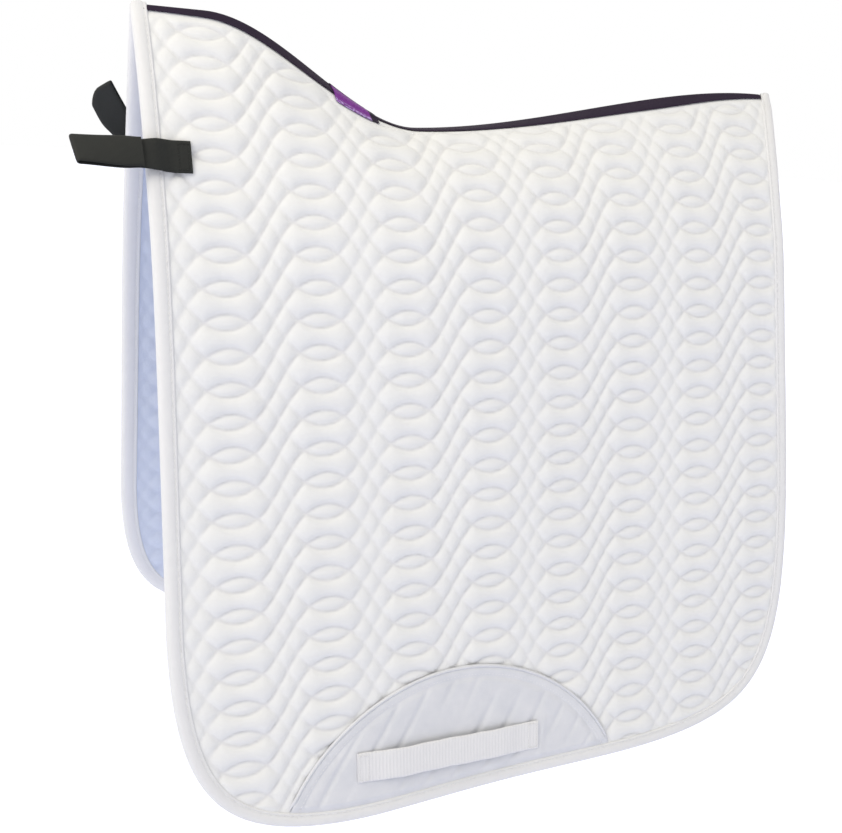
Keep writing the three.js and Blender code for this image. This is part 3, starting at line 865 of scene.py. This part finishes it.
# turn: degrees it turns up in its own plane. reach: its length past the turn. tail: the folded end's length.
# skew and round: how its tip is cut, slanted and rounded. waist: the share that it narrows at its turn.
STRAPS = {"left": {"turn": 0.0, "reach": 51.0, "tail": 45.0, "skew": -0.14, "round": 0.0, "waist": 0.1},
          "right": {"turn": 62.0, "reach": 50.0, "tail": 34.0, "skew": -0.3, "round": 8.0, "waist": 0.3}}
STRAP_BEND = 14.0  # radius of a strap's turn in its own plane
STRAP_TWIST = math.radians(22)
STRAP_RISE = 3.2  # how far the free part stands out from where it is sewn
STRAP_GIVE = 3.5  # a distance to each side of a strap's joint
BAND_LAYER, LOOP_LAYER, HOOK_LAYER, TAIL_LAYER = 6.35, 7.6, 8.4, 9.5
FOLD_START = 8.0  # how far from a strap's tip its folded end begins
HOOK_WIDTH, HOOK_WALL, HOOK_FROM, HOOK_TO = 20.0, 0.6, 34.0, 4.0  # the hook and loop, back from the tip


class Strap:
    """A strap's middle line from its sewn end to its tip, in millimetres along it from its joint."""

    def __init__(self, name, side):
        self.name, self.side, self.parts = name, side, STRAPS[name]
        angle = float(angle_at(STRAP_X, STRAP_S))
        self.origin = panel(STRAP_X, STRAP_S, 0, side) / MM
        self.along = np.array((-1.0, 0, 0))
        self.down = np.array((0, side * math.sin(angle), -math.cos(angle)))
        self.out = np.array((0, side * math.cos(angle), math.sin(angle)))
        self.turn = math.radians(self.parts["turn"])
        tangent = STRAP_BEND * math.tan(self.turn / 2)
        self.bend_start = STRAP_CREASE - tangent
        self.tip = self.bend_start + STRAP_BEND * self.turn + self.parts["reach"] - tangent

    def frame(self, along):
        """Middle point, and directions across and out, at distances along."""
        along = np.asarray(along, float)
        turn = np.clip((along - self.bend_start) / STRAP_BEND, 0, self.turn)
        straight = along - STRAP_BEND * turn
        run = np.minimum(along, self.bend_start) + STRAP_BEND * np.sin(turn)
        after = np.maximum(straight - self.bend_start, 0)
        forward = run + after * np.cos(turn)
        up = STRAP_BEND * (1 - np.cos(turn)) + after * np.sin(turn)
        middle = self.origin + self.along * forward[..., None] - self.down * up[..., None]
        across = self.down * np.cos(turn)[..., None] + self.along * np.sin(turn)[..., None]
        twist = (STRAP_TWIST * smooth((along - 4) / (self.tip - 4)))[..., None]
        return middle, across * np.cos(twist) + self.out * np.sin(twist), (
            self.out * np.cos(twist) - across * np.sin(twist))

    def points(self, along, across, layer):
        along, across, layer = np.broadcast_arrays(*(np.asarray(v, float) for v in (along, across, layer)))
        drawn_back = self.parts["round"] * np.maximum(across / (STRAP_WIDTH / 2), 0) ** 2
        along = along + (self.parts["skew"] * across - drawn_back) * smooth((along - 14) / 24)
        middle, aside, out = self.frame(along)
        sag = 0.35 * np.sin(along / 9.5 + 0.6) * smooth(along / 20)
        narrowed = across * (1 - self.parts["waist"] * np.exp(-(((along - 22) / 9) ** 2)))
        middle = middle + self.out * (BAND_LAYER + STRAP_RISE * smooth((along + 1) / 14))[..., None]
        lifted = layer - BAND_LAYER + sag
        return (middle + aside * narrowed[..., None] + out * lifted[..., None]) * MM


def strap_piece(strap, name, path, width, wall, material):
    """A band along a path of (distance along the strap, layer), with the band's own thickness."""
    path, along, direction = resample(np.array(path, float), 1.0)
    across, out = band_section(width / 2, wall)
    normal = np.stack([-direction[:, 1], direction[:, 0]], -1)
    at = path[:, :1] + normal[:, :1] * out
    layer = path[:, 1:] + normal[:, 1:] * out
    rings = strap.points(at, across, layer)
    return sweep(f"{strap.name}_{name}", rings, flat_uv(along[:, None], across), MATERIALS[material])


def blend_between(piece):
    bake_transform(piece)


def strap_band(strap, name):
    """The sewn end and the free webbing up to the fold."""
    path = [(-STRAP_BASE, BAND_LAYER), (strap.tip - FOLD_START, BAND_LAYER)]
    band = strap_piece(strap, "strap_band", path, STRAP_WIDTH, STRAP_WALL, "strap")
    place(band, "black_webbing", [f"{name}_strap_base", f"{name}_strap_webbing"])
    near, far = (strap.points(along, 0, BAND_LAYER) for along in (-STRAP_GIVE, STRAP_GIVE))
    blend_between(band)


def strap_fold(strap, name):
    """The webbing's turn at the tip, and the end that lies back over the band."""
    radius = (TAIL_LAYER - BAND_LAYER) / 2
    middle, tip = (TAIL_LAYER + BAND_LAYER) / 2, strap.tip - radius
    turn = np.linspace(-math.pi / 2, math.pi / 2, 14)
    arc = [(tip + radius * math.cos(v), middle + radius * math.sin(v)) for v in turn]
    start = strap.tip - FOLD_START
    path = [(start, BAND_LAYER), *arc, (start, TAIL_LAYER)]
    fold = strap_piece(strap, "strap_fold", path, STRAP_WIDTH, STRAP_WALL, "strap")
    place(fold, "black_webbing")
    near, far = (strap.points(tip, 0, layer) for layer in (middle - 0.3, middle + 0.3))
    blend_between(fold)

    path = [(start, TAIL_LAYER), (strap.tip - strap.parts["tail"], TAIL_LAYER)]
    tail = strap_piece(strap, "strap_free_end", path, STRAP_WIDTH, STRAP_WALL, "strap")
    place(tail, "black_webbing", [f"{name}_strap_tail"])
    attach(tail, f"{name}_strap_tail")


def hook_and_loop(strap, name):
    for kind, layer, body in (("loop", LOOP_LAYER, "strap"), ("hook", HOOK_LAYER, "strap_tail")):
        path = [(strap.tip - HOOK_FROM, layer), (strap.tip - HOOK_TO, layer)]
        made = strap_piece(strap, f"{kind}_tape_pile", path, HOOK_WIDTH, HOOK_WALL, "hook")
        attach(place(made, "hook_cloth", [f"{name}_{kind}_tape"]), f"{name}_{body}")


def strap_stitches(strap, name):
    """The box of stitches that holds the strap's sewn end."""
    along, across = box_of_stitches(2 - STRAP_BASE, -4.0, STRAP_WIDTH / 2 - 2.5)
    points = strap.points(along, across, BAND_LAYER + 0.75)
    row = stitch_row(points, np.broadcast_to(strap.out, points.shape), 2.6, radius=0.25)
    made = sewing(f"{name}_strap_stitches", [row], MATERIALS["strap"])
    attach(place(made, "black_webbing"), "pad_top")


def front_strap(name, side):
    strap = Strap(name, side)
    for make in (strap_band, strap_fold, hook_and_loop, strap_stitches):
        make(strap, name)


for side_name, side_sign in SIDES.items():
    quilted_panel(side_name, side_sign)
    binding(side_name, side_sign)
    girth_patch(side_name, side_sign)
    patch_piping(side_name, side_sign)
    girth_webbing(side_name, side_sign)
    front_strap(side_name, side_sign)
spine()


# ---------------------------------------------------------------- camera, light and floor
# In metres, degrees and, for the lens, millimetres
CAMERA = {"place": (-0.3148, -0.7692, 0.0199), "yaw": 23.85, "pitch": 17.94, "roll": 3.82, "lens": 40.62}
LIT_POINT = Vector((0.05, 0, -0.25))  # near the middle of the pad
FLOOR_REACH, FLOOR_DROP = 60.0, 3.0  # half the floor's side, and how far it lies under the pad, in metres


def add_camera():
    yaw, pitch, roll = (math.radians(CAMERA[k]) for k in ("yaw", "pitch", "roll"))
    forward = Vector((math.sin(yaw) * math.cos(pitch), math.cos(yaw) * math.cos(pitch), -math.sin(pitch)))
    right = Vector((math.cos(yaw), -math.sin(yaw), 0))
    up = right.cross(forward)
    tilted = right * math.cos(roll) + up * math.sin(roll)
    upright = up * math.cos(roll) - right * math.sin(roll)
    turn = Matrix((tilted, upright, -forward)).transposed()
    data = bpy.data.cameras.new("camera")
    data.lens = CAMERA["lens"]
    data.clip_start = 0.02
    camera = bpy.data.objects.new("camera", data)
    camera.matrix_world = Matrix.Translation(CAMERA["place"]) @ turn.to_4x4()
    bpy.context.scene.collection.objects.link(camera)
    bpy.context.scene.camera = camera


def add_light(name, kind, power, color, toward, distance=0.0, **shape):
    """A light that shines on the pad from a direction: an area light stands at a distance."""
    data = bpy.data.lights.new(name, kind)
    data.energy, data.color = power, color
    for key, value in shape.items():
        setattr(data, key, value)
    light = bpy.data.objects.new(name, data)
    light.location = Vector(toward).normalized() * distance + LIT_POINT
    light.rotation_mode = "QUATERNION"
    light.rotation_quaternion = Vector(toward).to_track_quat("Z", "Y")
    bpy.context.scene.collection.objects.link(light)


def add_stage():
    """A pale floor, far enough down to carry no clear shadow."""
    z, reach = cad_box[0].z - FLOOR_DROP, FLOOR_REACH
    corners = [(-reach, -reach, z), (reach, -reach, z), (reach, reach, z), (-reach, reach, z)]
    mesh = bpy.data.meshes.new("floor")
    mesh.from_pydata(corners, [], [(0, 1, 2, 3)])
    floor = bpy.data.objects.new("floor", mesh)
    bpy.context.scene.collection.objects.link(floor)
    paint = bpy.data.materials.new("floor_paint")
    paint.use_nodes = True
    shader = paint.node_tree.nodes["Principled BSDF"]
    shader.inputs["Base Color"].default_value = (0.86, 0.88, 1.0, 1)
    shader.inputs["Roughness"].default_value = 0.9
    shader.inputs["Emission Color"].default_value = (0.92, 0.94, 1.08, 1)
    shader.inputs["Emission Strength"].default_value = 0.42
    mesh.materials.append(paint)


def add_world():
    """A white studio: bright round the horizon and dim overhead."""
    world = bpy.data.worlds.new("studio")
    world.use_nodes = True
    tree = world.node_tree
    where = tree.nodes.new("ShaderNodeTexCoord")
    split = tree.nodes.new("ShaderNodeSeparateXYZ")
    tree.links.new(where.outputs["Generated"], split.inputs[0])
    ramp = tree.nodes.new("ShaderNodeValToRGB")
    tree.links.new(split.outputs[2], ramp.inputs[0])
    white, haze, overhead = (1.0, 1.0, 1.0), (0.315, 0.325, 0.345), (0.38, 0.375, 0.37)
    stops = [(0.0, white), (0.13, white), (0.32, haze), (1.0, overhead)]
    for stop, _ in stops[1:-1]:
        ramp.color_ramp.elements.new(stop)
    for element, (at, color) in zip(ramp.color_ramp.elements, stops):
        element.position = at
        element.color = (*color, 1)
    background = tree.nodes["Background"]
    tree.links.new(ramp.outputs[0], background.inputs["Color"])
    background.inputs["Strength"].default_value = 1.0
    bpy.context.scene.world = world


add_camera()
add_stage()
add_world()
add_light("key", "AREA", 26, (1.0, 0.94, 0.80), (-0.68, -0.34, 0.65), 2.4, size=1.4)
add_light("overhead", "SUN", 1.45, (1.0, 0.95, 0.81), (-0.1, -0.15, 0.97), angle=math.radians(85))
add_light("far_fill", "SUN", 0.5, (1.0, 0.97, 0.94), (0.35, 0.88, 0.3), angle=math.radians(60))
bpy.context.scene.view_settings.view_transform = "Standard"
